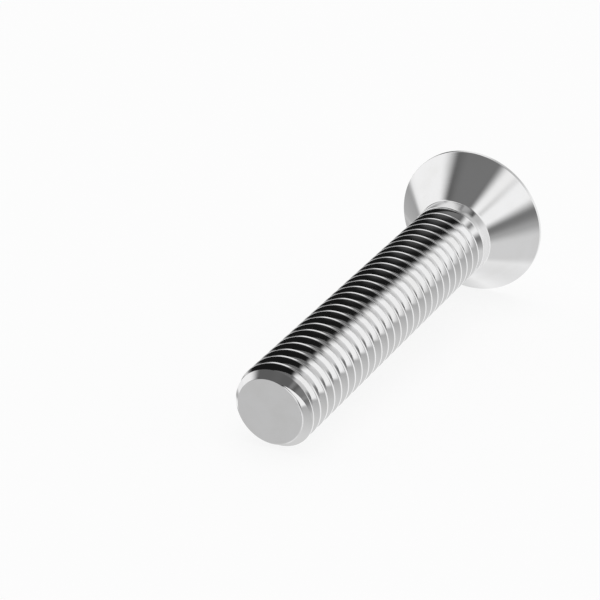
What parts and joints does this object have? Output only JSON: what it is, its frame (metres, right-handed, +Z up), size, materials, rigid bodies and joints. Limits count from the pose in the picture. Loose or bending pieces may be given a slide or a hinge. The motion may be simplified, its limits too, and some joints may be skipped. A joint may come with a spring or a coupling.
{
  "type": "countersunk socket screw",
  "caption": "Flat-headed machine screw with a conical seat under the head, a hexagon socket in its top and a right-hand metric thread, for a screw that sits flush with the surface.",
  "frame": {"origin": "on the ground, under the centre of the box of the screw as it lies on its side", "axes": "+X along the screw from its tip to its head, +Z up; the screw's own axis rises 5 degrees towards the head"},
  "size_m": [0.0162, 0.0056, 0.0057],
  "materials": {
    "polished_stainless_steel": "smooth polished"
  },
  "bodies": {
    "root": {"screw": "polished_stainless_steel"}
  },
  "joints": []
}
